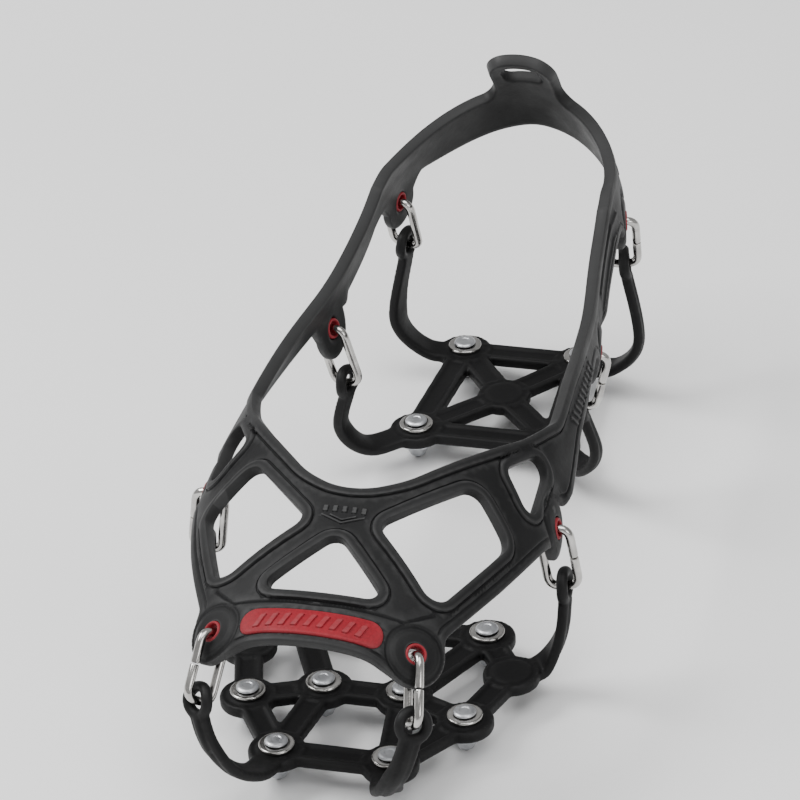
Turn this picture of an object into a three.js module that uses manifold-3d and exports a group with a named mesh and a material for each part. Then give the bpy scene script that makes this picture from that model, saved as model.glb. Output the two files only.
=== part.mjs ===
// A slip-on ice cleat ("microspikes") for one shoe, in the shape it takes when it is worn.
//
// A stretchy harness grips the upper. Eight steel links hang from its eyelets and carry two
// rubber matrices that lie under the sole, one at the forefoot and one at the heel. Each matrix
// holds riveted spikes with hard tips.
//
// Millimetres. +Z is up, the toe points along -Y, and the tips of the spikes stand on z = 0.
// Left and right are the wearer's: left is +X. The origin is the centre of the footprint's box.

import * as THREE from 'three';
import { TessellateModifier } from 'three/addons/modifiers/TessellateModifier.js';
import { mergeVertices } from 'three/addons/utils/BufferGeometryUtils.js';
import Module from 'manifold-3d';

const wasm = await Module();
wasm.setup();

// ---------------------------------------------------------------- driving dimensions

// The shoe that the harness is stretched over.
const BALL_Y = -50;              // where the shoe is widest
const BALL_HALF_WIDTH = 54.5;
const TOE_REACH = 92;            // from the widest place to the tip of the toe
const TOE_FULLNESS = 2.3;        // 2 would make the toe half an ellipse
const HEEL_HALF_WIDTH = 38.5;
const HEEL_CENTRE_Y = 75;        // centre of the round of the heel
const HEEL_REACH = 65;
const SIDE_HEIGHT = 30;          // height at which each cross-section is widest
const CREST_HEIGHT = 97.1;       // top of the cross-section at y = 0
const CREST_SLOPE = 0.33;        // and how fast it rises towards the heel

// The harness and the pieces set in it.
const HARNESS_THICKNESS = 3.2;
const EYELET_BORE = 3.4;
const GROMMET_OUTER = 3.1;
const GROMMET_INNER = 2.2;
const GROMMET_STANDS_PROUD = 0.25;
const BADGE_THICKNESS = 1.3;
const BADGE_STANDS_PROUD = 0.4;
const GAP = 0.3;                 // between pieces that touch

// The steel links.
const LINK_LENGTH = 18.5;        // between the middles of its two bows
const LINK_HALF_WIDTH = 4.3;     // from its middle plane to the centre of a leg
const LINK_CORNER = 3.4;
const LINK_WIRE = 1.25;          // wire radius
const LINK_SEAM = 0.3;           // where the bent wire's two ends meet
const LINK_STEPS = 24;

// The matrices under the sole.
const MATRIX_BOTTOM = 7.0;
const MATRIX_THICKNESS = 3.5;
const PAD_RADIUS = 8;            // disc under each spike
const WEB_WIDTH = 8;
const ARM_THICKNESS = 3;
const ARM_ROOT_WIDTH = 9;
const ARM_NECK_WIDTH = 6;        // just below its eye
const ARM_EYE_RADIUS = 5.4;
const ARM_EYE_BORE = 2.4;

// The spikes.
const SHANK_RADIUS = 2.0;
const SHANK_BORE = SHANK_RADIUS + GAP;
const FLANGE_RADIUS = 5.8;
const TIP_RADIUS = 1.2;
const TIP_FLAT_RADIUS = 0.8;
const WASHER_RADIUS = 5.0;
const WASHER_THICKNESS = 1.2;

// How finely bent and round pieces are divided.
const SHEET_CELL = 12;
const CUTTER_EDGE = 22;
const BADGE_EDGE = 7;
const ARM_STEP = 6;
const ROUND_STEP = 0.7;          // radians
const ROUND_LENGTH = 14;
const CIRCLE_SIDES = 12;
const SPIKE_SIDES = 8;

const MATRIX_TOP = MATRIX_BOTTOM + MATRIX_THICKNESS;
const MATRIX_MIDDLE = MATRIX_BOTTOM + MATRIX_THICKNESS / 2;

// ---------------------------------------------------------------- where the links hang

// A place in the flat harness behind the heel's centre: an angle from the left side, in degrees,
// and a distance from that centre.
function aroundHeel(degrees, radius) {
  const angle = THREE.MathUtils.degToRad(degrees);
  return [radius * Math.cos(angle), HEEL_CENTRE_Y + radius * Math.sin(angle)];
}

// One entry for each pair of links. `eyelet` is its place in the flat harness, `facing` the
// flat direction in which its lobe points (degrees from +p), `bend` how far the pull of the link
// turns the lobe inwards (degrees), and `hang` the direction in which the left link hangs.
// `lobe` is the lobe's radius and where its round edge begins and ends, in degrees from the way
// it faces.
const REAR_LOBE_ANGLE = 31;
const STATIONS = {
  toe: {
    eyelet: [25.3, -115.7], facing: -60, bend: 9, hang: [0.12, -0.65, -0.75],
    lobe: { radius: 8.7, from: -40, to: 95 },
  },
  ball: {
    eyelet: [58, -50], facing: 0, bend: 20, hang: [0.14, 0, -1],
    lobe: { radius: 7.6, from: -95, to: 95 },
  },
  heel_front: {
    eyelet: [79.6, 38], facing: 0, bend: 24, hang: [-0.26, 0, -1],
    lobe: { radius: 7.6, from: -95, to: 95 },
  },
  heel_rear: {
    eyelet: aroundHeel(REAR_LOBE_ANGLE, 84),
    facing: REAR_LOBE_ANGLE,
    bend: 10,
    hang: [-0.05, 0.3, -1],
    lobe: { radius: 7.6, from: -95, to: 95 },
  },
};
const BEND_STARTS = 7;           // distance above the eyelet at which the lobe begins to turn
const BEND_LENGTH = 6;
const BEND_HALF_WIDTH = 8.7;
const BEND_FADE = 7;             // the turn dies away over this width at each side of the lobe

const SIDES = { left: 1, right: -1 };

// ---------------------------------------------------------------- outlines and solids

const LEAST_TURN = 0.01;         // radians; a corner that turns less is left as it is
const FILLED_SHARE = 0.97;       // of a side, at most, that the rounding of its corners takes up

// Points along a closed outline of straight runs, with each corner rounded to its radius, or
// to what its two sides leave room for. A corner is [x, y, radius].
function roundedOutline(corners) {
  const count = corners.length;
  const turns = corners.map(([x, y, radius], i) => {
    const [before, after] = [corners[(i + count - 1) % count], corners[(i + 1) % count]];
    const corner = new THREE.Vector2(x, y);
    const toBefore = new THREE.Vector2(before[0], before[1]).sub(corner);
    const toAfter = new THREE.Vector2(after[0], after[1]).sub(corner);
    const half = Math.abs(toBefore.angleTo(toAfter)) / 2;
    return { corner, toBefore, toAfter, half, cut: radius / Math.tan(half) };
  });
  return turns.flatMap(({ corner, toBefore, toAfter, half, cut }, i) => {
    const turn = Math.PI - 2 * half;
    if (!cut || turn < LEAST_TURN) {
      return [corner];
    }
    const neighbours = [turns[(i + count - 1) % count], turns[(i + 1) % count]];
    const room = Math.min(
      1,
      (FILLED_SHARE * toBefore.length()) / (cut + neighbours[0].cut),
      (FILLED_SHARE * toAfter.length()) / (cut + neighbours[1].cut),
    );
    const radius = room * cut * Math.tan(half);
    const inward = toBefore.clone().normalize().add(toAfter.clone().normalize());
    const centre = inward.setLength(radius / Math.sin(half)).add(corner);
    const start = toBefore.clone().setLength(room * cut).add(corner).sub(centre);
    const sense = Math.sign(toAfter.cross(toBefore));
    const steps = Math.ceil(Math.max(turn / ROUND_STEP, (turn * radius) / ROUND_LENGTH));
    return Array.from({ length: steps + 1 }, (_, k) => (
      start.clone().rotateAround(new THREE.Vector2(), (sense * turn * k) / steps).add(centre)
    ));
  });
}

function circle(x, y, radius, sides = CIRCLE_SIDES) {
  return Array.from({ length: sides }, (_, k) => {
    const angle = (2 * Math.PI * k) / sides;
    return new THREE.Vector2(x + radius * Math.cos(angle), y + radius * Math.sin(angle));
  });
}

// Corners of the left half, and the same corners mirrored to close the outline.
function mirroredCorners(half) {
  const other = half.filter(([x]) => x > 0).map(([x, y, radius]) => [-x, y, radius]);
  return [...half, ...other.reverse()];
}

// Mirrored, and turned round so that the outline still runs the same way.
const mirroredPoints = (points) => points.map(({ x, y }) => new THREE.Vector2(-x, y)).reverse();

// A flat plate between the heights `from` and `to`.
function plate(outline, holes, from, to) {
  const shape = new THREE.Shape(outline);
  shape.holes = holes.map((points) => new THREE.Path(points));
  const geometry = new THREE.ExtrudeGeometry(shape, { depth: to - from, bevelEnabled: false });
  return geometry.translate(0, 0, from);
}

const MOST_PASSES = 12;
const divided = (geometry, longestEdge) => (
  new TessellateModifier(longestEdge, MOST_PASSES).modify(geometry)
);

// Moves each point of a flat piece by `place`, which maps its x, y, z.
function bent(geometry, place) {
  const position = geometry.attributes.position;
  for (let i = 0; i < position.count; i++) {
    const point = place(position.getX(i), position.getY(i), position.getZ(i));
    position.setXYZ(i, point.x, point.y, point.z);
  }
  return welded(geometry);
}

const WELD_DISTANCE = 1e-3;

function welded(geometry) {
  geometry.deleteAttribute('normal');
  geometry.deleteAttribute('uv');
  const merged = mergeVertices(geometry, WELD_DISTANCE);
  merged.computeVertexNormals();
  return merged;
}

function solid(geometry) {
  const { attributes, index } = welded(geometry.clone());
  return new wasm.Manifold(new wasm.Mesh({
    numProp: 3,
    vertProperties: new Float32Array(attributes.position.array),
    triVerts: new Uint32Array(index.array),
  }));
}

function geometryOf(manifold) {
  const mesh = manifold.getMesh();
  const geometry = new THREE.BufferGeometry();
  geometry.setAttribute('position', new THREE.BufferAttribute(mesh.vertProperties, 3));
  geometry.setIndex(new THREE.BufferAttribute(mesh.triVerts, 1));
  geometry.computeVertexNormals();
  return geometry;
}

// ---------------------------------------------------------------- the surface of the shoe

function shoeHalfWidth(y) {
  if (y < BALL_Y) {
    const t = Math.min((BALL_Y - y) / TOE_REACH, 0.999);
    return BALL_HALF_WIDTH * (1 - t ** TOE_FULLNESS) ** (1 / TOE_FULLNESS);
  }
  const share = THREE.MathUtils.smoothstep(y, BALL_Y, HEEL_CENTRE_Y);
  return THREE.MathUtils.lerp(BALL_HALF_WIDTH, HEEL_HALF_WIDTH, share);
}

// The shoe's surface, unrolled. p runs down its side from the crest, q runs along it towards
// the heel, and behind the heel's centre the flat sheet fans out round that centre.
function shoePoint(p, q) {
  const y = Math.min(q, HEEL_CENTRE_Y);
  const behind = q - y;
  const across = Math.hypot(p, behind);
  const alongX = behind > 0 ? p / across : Math.sign(p) || 1;
  const alongY = behind > 0 ? behind / across : 0;
  const width = shoeHalfWidth(y);
  const reach = 1 / Math.hypot(alongX / width, behind > 0 ? alongY / HEEL_REACH : 0);
  const rise = CREST_HEIGHT + CREST_SLOPE * y - SIDE_HEIGHT;
  const quarter = (Math.PI / 2) * Math.sqrt((reach ** 2 + rise ** 2) / 2);
  const angle = (Math.min(across / quarter, 1) * Math.PI) / 2;
  const out = reach * Math.sin(angle);
  const drop = Math.max(across - quarter, 0);
  return new THREE.Vector3(alongX * out, y + alongY * out, SIDE_HEIGHT + rise * Math.cos(angle) - drop);
}

const SLOPE_STEP = 0.05;

function normalOf(surface, p, q) {
  const step = SLOPE_STEP;
  const alongP = surface(p + step, q).sub(surface(p - step, q));
  const alongQ = surface(p, q + step).sub(surface(p, q - step));
  return alongP.cross(alongQ).normalize();
}

// The steps in the flat sheet that move one millimetre over the shoe, outwards and aside of the
// way a station's lobe faces.
function stepsAt({ eyelet: [p, q], facing }) {
  return [0, 90].map((turn) => {
    const angle = THREE.MathUtils.degToRad(facing + turn);
    const step = new THREE.Vector2(Math.cos(angle), Math.sin(angle));
    const ahead = shoePoint(p + step.x / 2, q + step.y / 2);
    return step.divideScalar(ahead.distanceTo(shoePoint(p - step.x / 2, q - step.y / 2)));
  });
}

for (const station of Object.values(STATIONS)) {
  station.steps = stepsAt(station);
}

// How far the links' pull draws the sheet inwards at a place.
function pulledIn(p, q) {
  let depth = 0;
  for (const { eyelet, bend, steps: [outwards, sideways] } of Object.values(STATIONS)) {
    const offset = new THREE.Vector2(Math.abs(p) - eyelet[0], q - eyelet[1]);
    const along = offset.dot(outwards) / outwards.lengthSq() + BEND_STARTS;
    const aside = Math.abs(offset.dot(sideways)) / sideways.lengthSq();
    const share = 1 - THREE.MathUtils.smoothstep(aside, BEND_HALF_WIDTH, BEND_HALF_WIDTH + BEND_FADE);
    const turning = THREE.MathUtils.clamp(along, 0, BEND_LENGTH);
    const slope = THREE.MathUtils.degToRad(bend);
    const drop = (slope * turning ** 2) / (2 * BEND_LENGTH) + slope * Math.max(along - BEND_LENGTH, 0);
    depth += share * drop;
  }
  return depth;
}

function harnessPoint(p, q) {
  return shoePoint(p, q).addScaledVector(normalOf(shoePoint, p, q), -pulledIn(p, q));
}

// The place in space of a point of the flat harness, w above its inner face.
function worn(p, q, w) {
  return harnessPoint(p, q).addScaledVector(normalOf(harnessPoint, p, q), w);
}

// ---------------------------------------------------------------- harness and badge

// The place in the flat harness at a distance from an eyelet, seen round it from the way its
// lobe faces.
function aroundEyelet({ eyelet: [p, q], steps: [outwards, sideways] }, radius, degrees) {
  const angle = THREE.MathUtils.degToRad(degrees);
  const place = new THREE.Vector2(p, q).addScaledVector(outwards, radius * Math.cos(angle));
  return place.addScaledVector(sideways, radius * Math.sin(angle));
}

function ringRound(station, radius) {
  return Array.from({ length: CIRCLE_SIDES }, (_, k) => (
    aroundEyelet(station, radius, (360 * k) / CIRCLE_SIDES)
  ));
}

// The round edge of the lobe at an eyelet.
function lobe(name) {
  const steps = 6;
  const { radius, from, to } = STATIONS[name].lobe;
  return Array.from({ length: steps + 1 }, (_, k) => {
    const degrees = THREE.MathUtils.lerp(from, to, k / steps);
    const { x, y } = aroundEyelet(STATIONS[name], radius, degrees);
    return [x, y, 0];
  });
}

// Outlines in the flat harness, left half: [p, q, corner radius].
const OUTER_EDGE = [
  [0, -123.6, 90], [15, -123, 30], ...lobe('toe'), [31.4, -107.8, 3],            // toe bail
  [43, -85.5, 60], [55.5, -60, 4], ...lobe('ball'), [61.6, -38, 4],          // side bar
  [63, -14, 60], [70, 16, 40], [73.6, 29, 5], ...lobe('heel_front'),         // side rail
  [80.5, 50, 5], [82, 75, 60], [...aroundHeel(15, 81), 6],
  ...lobe('heel_rear'), [...aroundHeel(47, 82), 6],                          // round the heel
  [...aroundHeel(64, 88), 80], [...aroundHeel(82, 86), 80],
];
const ANKLE_EDGE = [
  [0, -76, 14], [12, -69, 30], [40, -38, 60], [50.8, -21.5, 12],             // instep notch
  [55.5, -1, 60], [68, 38, 80],                                              // side rail
  [70.5, 75, 70], [...aroundHeel(34, 73), 70], [...aroundHeel(62, 73), 70],  // round the heel
  [13, 145, 5], [12.5, 124, 7],                                              // pull tab
];
const PULL_TAB_SLOT = [[8, 128, 3.5], [8, 137, 3.5]];
const CENTRE_OPENING = [[0, -88.3, 3], [15.6, -106.6, 3], [0, -108.6, 80]];
const SIDE_OPENING = [[8.2, -84, 4], [29.5, -61.2, 4.5], [42.3, -71.6, 4.5], [26.6, -103, 4]];
const RAIL_OPENING = [[36.2, -50.6, 3], [51, -31, 3], [47.3, -60.8, 3]];
const BADGE_OUTLINE = [
  [0, -113.8, 120], [16.7, -112.8, 3.5], [16.7, -120.3, 3.5], [0, -121.4, 120],
];
const BADGE_MIDDLE = -117;

// The flat sheet that the harness is cut from: half its width, and its two ends.
const SHEET_HALF_WIDTH = 98;
const SHEET_ENDS = [-133, 172];

function grownBadge(by) {
  return roundedOutline(mirroredCorners(BADGE_OUTLINE.map(([p, q, radius]) => [
    p && p + by,
    q > BADGE_MIDDLE ? q + by : q - by,
    radius + (p ? by : 0),
  ])));
}

// The whole sheet as it lies over the shoe, in even cells.
function wornSheet() {
  const [front, back] = SHEET_ENDS;
  const [width, length] = [2 * SHEET_HALF_WIDTH, back - front];
  const cells = [Math.round(width / SHEET_CELL), Math.round(length / SHEET_CELL)];
  const sheet = new THREE.BoxGeometry(width, length, HARNESS_THICKNESS, ...cells, 1);
  return bent(sheet.translate(0, (front + back) / 2, HARNESS_THICKNESS / 2), worn);
}

// A body with this flat outline that passes through the worn sheet from the height `from` up.
function wornCutter(outline, from = -HARNESS_THICKNESS) {
  const flat = plate(outline, [], from, 2 * HARNESS_THICKNESS);
  return solid(bent(divided(flat, CUTTER_EDGE), worn));
}

function harnessGeometry() {
  const oneSided = [SIDE_OPENING, RAIL_OPENING].map(roundedOutline);
  for (const station of Object.values(STATIONS)) {
    oneSided.push(ringRound(station, EYELET_BORE));
  }
  const openings = [
    ...[ANKLE_EDGE, CENTRE_OPENING, PULL_TAB_SLOT].map(mirroredCorners).map(roundedOutline),
    ...oneSided,
    ...oneSided.map(mirroredPoints),
  ];
  const outline = roundedOutline(mirroredCorners(OUTER_EDGE));
  const recessFloor = HARNESS_THICKNESS + BADGE_STANDS_PROUD - BADGE_THICKNESS - GAP;
  let harness = solid(wornSheet()).intersect(wornCutter(outline));
  for (const opening of openings) {
    harness = harness.subtract(wornCutter(opening));
  }
  return geometryOf(harness.subtract(wornCutter(grownBadge(GAP), recessFloor)));
}

function badgeGeometry() {
  const top = HARNESS_THICKNESS + BADGE_STANDS_PROUD;
  return bent(divided(plate(grownBadge(0), [], top - BADGE_THICKNESS, top), BADGE_EDGE), worn);
}

function grommetGeometry(station, side) {
  const [outline, bore] = [GROMMET_OUTER, GROMMET_INNER]
    .map((radius) => ringRound(station, radius))
    .map((points) => (side > 0 ? points : mirroredPoints(points)));
  const top = HARNESS_THICKNESS + GROMMET_STANDS_PROUD;
  return bent(plate(outline, [bore], -GROMMET_STANDS_PROUD, top), worn);
}

// ---------------------------------------------------------------- links

// Where a link hangs: its two pivots, the direction it hangs in and the axis of its eyelet.
function hangingOf({ eyelet, hang }, side) {
  const [p, q] = [eyelet[0] * side, eyelet[1]];
  const down = new THREE.Vector3(hang[0] * side, hang[1], hang[2]).normalize();
  const top = worn(p, q, HARNESS_THICKNESS / 2);
  const through = normalOf(harnessPoint, p, q);
  through.addScaledVector(down, -through.dot(down)).normalize();
  const bottom = top.clone().addScaledVector(down, LINK_LENGTH);
  return { top, bottom, down, through };
}

// An oblong of wire. Its upper bow crosses the origin along x and it hangs along -z.
function linkGeometry() {
  const [w, c] = [LINK_HALF_WIDTH, LINK_CORNER];
  const at = (x, z) => new THREE.Vector3(x, 0, z);
  const path = new THREE.CurvePath();
  const run = (...ends) => path.add(new THREE.LineCurve3(...ends));
  const turn = (...ends) => path.add(new THREE.QuadraticBezierCurve3(...ends));
  const [middle, bottom] = [-LINK_LENGTH / 2, -LINK_LENGTH];
  run(at(w, middle + LINK_SEAM / 2), at(w, -c));
  turn(at(w, -c), at(w, 0), at(w - c, 0));
  run(at(w - c, 0), at(c - w, 0));
  turn(at(c - w, 0), at(-w, 0), at(-w, -c));
  run(at(-w, -c), at(-w, bottom + c));
  turn(at(-w, bottom + c), at(-w, bottom), at(c - w, bottom));
  run(at(c - w, bottom), at(w - c, bottom));
  turn(at(w - c, bottom), at(w, bottom), at(w, bottom + c));
  run(at(w, bottom + c), at(w, middle - LINK_SEAM / 2));
  const section = new THREE.Shape(circle(0, 0, LINK_WIRE, 7));
  return new THREE.ExtrudeGeometry(section, { steps: LINK_STEPS, extrudePath: path });
}

// ---------------------------------------------------------------- matrices

// Places on the left half, seen from above: [x, y]. A pad carries a spike unless it is a joint.
const FOREFOOT = {
  pads: { front: [16, -107], outer: [31, -84], inner: [11.5, -76], rear: [27, -44] },
  joints: { side: [38, -60] },
  webs: [
    ['front', 'mirror'], ['front', 'outer'], ['front', 'inner'], ['outer', 'inner'],
    ['inner', 'mirror'], ['outer', 'side'], ['side', 'rear'], ['inner', 'rear'], ['rear', 'mirror'],
  ],
  arms: {
    toe: { root: 'front', via: [[18.5, -120, 11], [22.5, -129, 19], [27, -131, 28]] },
    ball: { root: 'side', via: [[45, -54, 8.9], [50, -51.5, 18]] },
  },
};
const HEEL = {
  pads: { front: [21, 58], rear: [18, 104] },
  joints: { hub: [0, 81] },
  webs: [
    ['front', 'mirror'], ['front', 'rear'], ['front', 'hub'], ['rear', 'hub'], ['rear', 'mirror'],
  ],
  arms: {
    heel_front: { root: 'front', via: [[33, 46, 10], [38.5, 40, 20]] },
    heel_rear: { root: 'rear', via: [[29, 102, 10], [37, 100, 20]] },
  },
};

function webGeometry(a, b) {
  const [dx, dy] = [b[0] - a[0], b[1] - a[1]];
  return new THREE.BoxGeometry(Math.hypot(dx, dy), WEB_WIDTH, MATRIX_THICKNESS)
    .rotateZ(Math.atan2(dy, dx))
    .translate((a[0] + b[0]) / 2, (a[1] + b[1]) / 2, MATRIX_MIDDLE);
}

// The shares of its length over which an arm turns from lying flat to facing the link, and over
// which it narrows.
const ARM_TURNS = [0.1, 0.8];
const ARM_NARROWS = [0.3, 0.8];

// A strap with a round eye, drawn flat along x and then laid along a curve that climbs from
// the pad `root` round the edge of the sole to the link's lower pivot.
function armSolid(root, via, station, side) {
  const { bottom, down, through } = hangingOf(station, side);
  const mirrored = ([x, y, z]) => new THREE.Vector3(x * side, y, z);
  const stops = via.map(mirrored);
  const centre = mirrored([...root, MATRIX_MIDDLE]);
  const start = stops[0].clone().sub(centre).setZ(0).setLength(PAD_RADIUS / 2).add(centre);
  const tip = bottom.clone().addScaledVector(down, -ARM_EYE_RADIUS);
  const curve = new THREE.CatmullRomCurve3([start, ...stops, bottom, tip]);
  const length = curve.getLength();
  const reach = length - ARM_EYE_RADIUS;
  const outside = new THREE.Vector3(0, 0, -1);
  const place = (x, y, z) => {
    const share = THREE.MathUtils.clamp(x / length, 0, 1);
    const tangent = curve.getTangentAt(share);
    const normal = outside.clone().lerp(through, THREE.MathUtils.smoothstep(share, ...ARM_TURNS));
    normal.addScaledVector(tangent, -normal.dot(tangent)).normalize();
    const aside = normal.clone().cross(tangent);
    return curve.getPointAt(share).addScaledVector(aside, y).addScaledVector(normal, z);
  };
  const narrowed = (x, y, z) => {
    const share = THREE.MathUtils.smoothstep(x / reach, ...ARM_NARROWS);
    return place(x, y * THREE.MathUtils.lerp(ARM_ROOT_WIDTH, ARM_NECK_WIDTH, share), z);
  };
  const half = ARM_THICKNESS / 2;
  const strap = new THREE.BoxGeometry(reach, 1, ARM_THICKNESS, Math.round(reach / ARM_STEP), 1, 1);
  const eye = plate(circle(reach, 0, ARM_EYE_RADIUS), [], -half, half);
  const bore = plate(circle(reach, 0, ARM_EYE_BORE), [], -2 * half, 2 * half);
  return solid(bent(strap.translate(reach / 2, 0, 0), narrowed))
    .add(solid(bent(eye, place)))
    .subtract(solid(bent(bore, place)));
}

function matrixGeometry({ pads, joints, webs, arms }) {
  const places = { ...pads, ...joints };
  const pieces = [];
  const bores = [];
  for (const side of Object.values(SIDES)) {
    const onSide = ([x, y]) => [x * side, y];
    for (const place of Object.values(places)) {
      const disc = circle(...onSide(place), PAD_RADIUS);
      pieces.push(solid(plate(disc, [], MATRIX_BOTTOM, MATRIX_TOP)));
    }
    for (const [from, to] of webs) {
      const end = to === 'mirror' ? [-places[from][0], places[from][1]] : places[to];
      pieces.push(solid(webGeometry(onSide(places[from]), onSide(end))));
    }
    for (const [name, { root, via }] of Object.entries(arms)) {
      pieces.push(armSolid(places[root], via, STATIONS[name], side));
    }
    for (const pad of Object.values(pads)) {
      const bore = circle(...onSide(pad), SHANK_BORE);
      bores.push(solid(plate(bore, [], MATRIX_BOTTOM - 1, MATRIX_TOP + 1)));
    }
  }
  const joined = pieces.reduce((whole, piece) => whole.add(piece));
  return geometryOf(bores.reduce((whole, bore) => whole.subtract(bore), joined));
}

// ---------------------------------------------------------------- spikes

const WASHER_BOTTOM = MATRIX_TOP + GAP;
const HEAD_BOTTOM = WASHER_BOTTOM + WASHER_THICKNESS + GAP;
const SOCKET_TOP = 4.0;
const BODY_BOTTOM = 1.2;

const lathe = (profile) => new THREE.LatheGeometry(
  profile.map(([radius, z]) => new THREE.Vector2(radius, z)), SPIKE_SIDES,
).rotateX(Math.PI / 2);

// An aluminium stud: a socket for the tip, a cone, a flange against the matrix, and a shank
// that passes through the matrix and the washer to a riveted head.
function spikeBodyGeometry() {
  const flange = MATRIX_BOTTOM - GAP;
  return lathe([
    [0, SOCKET_TOP], [TIP_RADIUS + GAP, SOCKET_TOP], [TIP_RADIUS + GAP, BODY_BOTTOM],
    [2.3, BODY_BOTTOM], [3.5, 4.9], [FLANGE_RADIUS, 5.5], [FLANGE_RADIUS, flange],
    [SHANK_RADIUS, flange], [SHANK_RADIUS, HEAD_BOTTOM], [3.2, HEAD_BOTTOM],
    [3.2, HEAD_BOTTOM + 0.5], [2.3, HEAD_BOTTOM + 1], [0, HEAD_BOTTOM + 1],
  ]);
}

function spikeTipGeometry() {
  return lathe([
    [0, 0], [TIP_FLAT_RADIUS, 0], [TIP_RADIUS, 0.6], [TIP_RADIUS, SOCKET_TOP - GAP],
    [0, SOCKET_TOP - GAP],
  ]);
}

function washerGeometry() {
  return plate(
    circle(0, 0, WASHER_RADIUS), [circle(0, 0, SHANK_BORE)],
    WASHER_BOTTOM, WASHER_BOTTOM + WASHER_THICKNESS,
  );
}

// ---------------------------------------------------------------- assembly

const MATERIALS = {
  harness: { color: 0x2b2c2e, roughness: 0.62, metalness: 0 },
  red: { color: 0xb01f2e, roughness: 0.5, metalness: 0 },
  steel: { color: 0xc9cacc, roughness: 0.22, metalness: 1 },
  matrix: { color: 0x1a1b1c, roughness: 0.6, metalness: 0 },
  aluminium: { color: 0xa6a9ad, roughness: 0.4, metalness: 1 },
  carbide: { color: 0x5c5e62, roughness: 0.35, metalness: 1 },
};

const model = new THREE.Group();

function add(name, geometry, material) {
  const mesh = new THREE.Mesh(geometry, new THREE.MeshStandardMaterial(MATERIALS[material]));
  mesh.name = name;
  model.add(mesh);
  return mesh;
}

function addLink(name, station, side) {
  const { top, down, through } = hangingOf(station, side);
  const up = down.clone().negate();
  const link = add(name, linkGeometry(), 'steel');
  link.position.copy(top);
  link.setRotationFromMatrix(new THREE.Matrix4().makeBasis(through, up.clone().cross(through), up));
}

function addSpikes(area, { pads }) {
  for (const [place, [x, y]] of Object.entries(pads)) {
    for (const [sideName, side] of Object.entries(SIDES)) {
      const name = `${area}_${place}_${sideName}`;
      add(`spike_body_${name}`, spikeBodyGeometry(), 'aluminium').position.set(x * side, y, 0);
      add(`spike_tip_${name}`, spikeTipGeometry(), 'carbide').position.set(x * side, y, 0);
      add(`spike_washer_${name}`, washerGeometry(), 'steel').position.set(x * side, y, 0);
    }
  }
}

add('harness', harnessGeometry(), 'harness');
add('badge', badgeGeometry(), 'red');
for (const [stationName, station] of Object.entries(STATIONS)) {
  for (const [sideName, side] of Object.entries(SIDES)) {
    add(`grommet_${stationName}_${sideName}`, grommetGeometry(station, side), 'red');
    addLink(`link_${stationName}_${sideName}`, station, side);
  }
}
add('forefoot_matrix', matrixGeometry(FOREFOOT), 'matrix');
add('heel_matrix', matrixGeometry(HEEL), 'matrix');
addSpikes('forefoot', FOREFOOT);
addSpikes('heel', HEEL);

const centre = new THREE.Box3().setFromObject(model).getCenter(new THREE.Vector3());
model.position.set(0, -centre.y, 0);

export default model;
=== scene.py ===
"""The looks of a slip-on ice cleat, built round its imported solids.

Shapes are worked out in millimetres, in the frame that the solids were drawn in, and turned into
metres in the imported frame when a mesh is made. The harness is drawn flat in p, down the side
from the crest of the shoe, and q, along the shoe, and laid over the shoe by worn().
"""

import math

import bpy
import numpy as np
from mathutils import Matrix, Vector
from mathutils.geometry import delaunay_2d_cdt

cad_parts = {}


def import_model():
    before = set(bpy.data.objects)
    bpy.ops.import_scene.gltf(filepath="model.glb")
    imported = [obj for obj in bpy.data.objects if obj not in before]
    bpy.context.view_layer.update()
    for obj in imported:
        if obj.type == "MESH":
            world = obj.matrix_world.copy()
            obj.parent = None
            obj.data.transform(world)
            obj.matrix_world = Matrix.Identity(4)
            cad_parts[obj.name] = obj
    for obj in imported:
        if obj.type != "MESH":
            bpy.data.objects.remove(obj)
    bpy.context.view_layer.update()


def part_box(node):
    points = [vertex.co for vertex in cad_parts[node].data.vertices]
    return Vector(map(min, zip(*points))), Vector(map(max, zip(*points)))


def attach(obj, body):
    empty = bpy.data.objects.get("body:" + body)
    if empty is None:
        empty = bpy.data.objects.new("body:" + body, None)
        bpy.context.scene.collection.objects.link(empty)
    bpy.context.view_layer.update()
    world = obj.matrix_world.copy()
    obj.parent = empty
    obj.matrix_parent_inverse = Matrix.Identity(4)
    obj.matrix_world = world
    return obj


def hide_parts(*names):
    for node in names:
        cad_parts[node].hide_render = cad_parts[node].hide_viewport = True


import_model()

MM = 0.001
SIDES = {"left": 1, "right": -1}


def cad_box(node):
    """Lowest and highest corner of a solid, in millimetres."""
    return [np.array(corner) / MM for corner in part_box(node)]


# ---------------------------------------------------------------- sizes

# The shoe that the harness is stretched over.
BALL_Y = -50
BALL_HALF_WIDTH = 54.5
TOE_REACH = 92
TOE_FULLNESS = 2.3
HEEL_HALF_WIDTH = 38.5
HEEL_CENTRE_Y = 75
HEEL_REACH = 65
SIDE_HEIGHT = 30
CREST_HEIGHT = 97.1
CREST_SLOPE = 0.33

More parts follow.
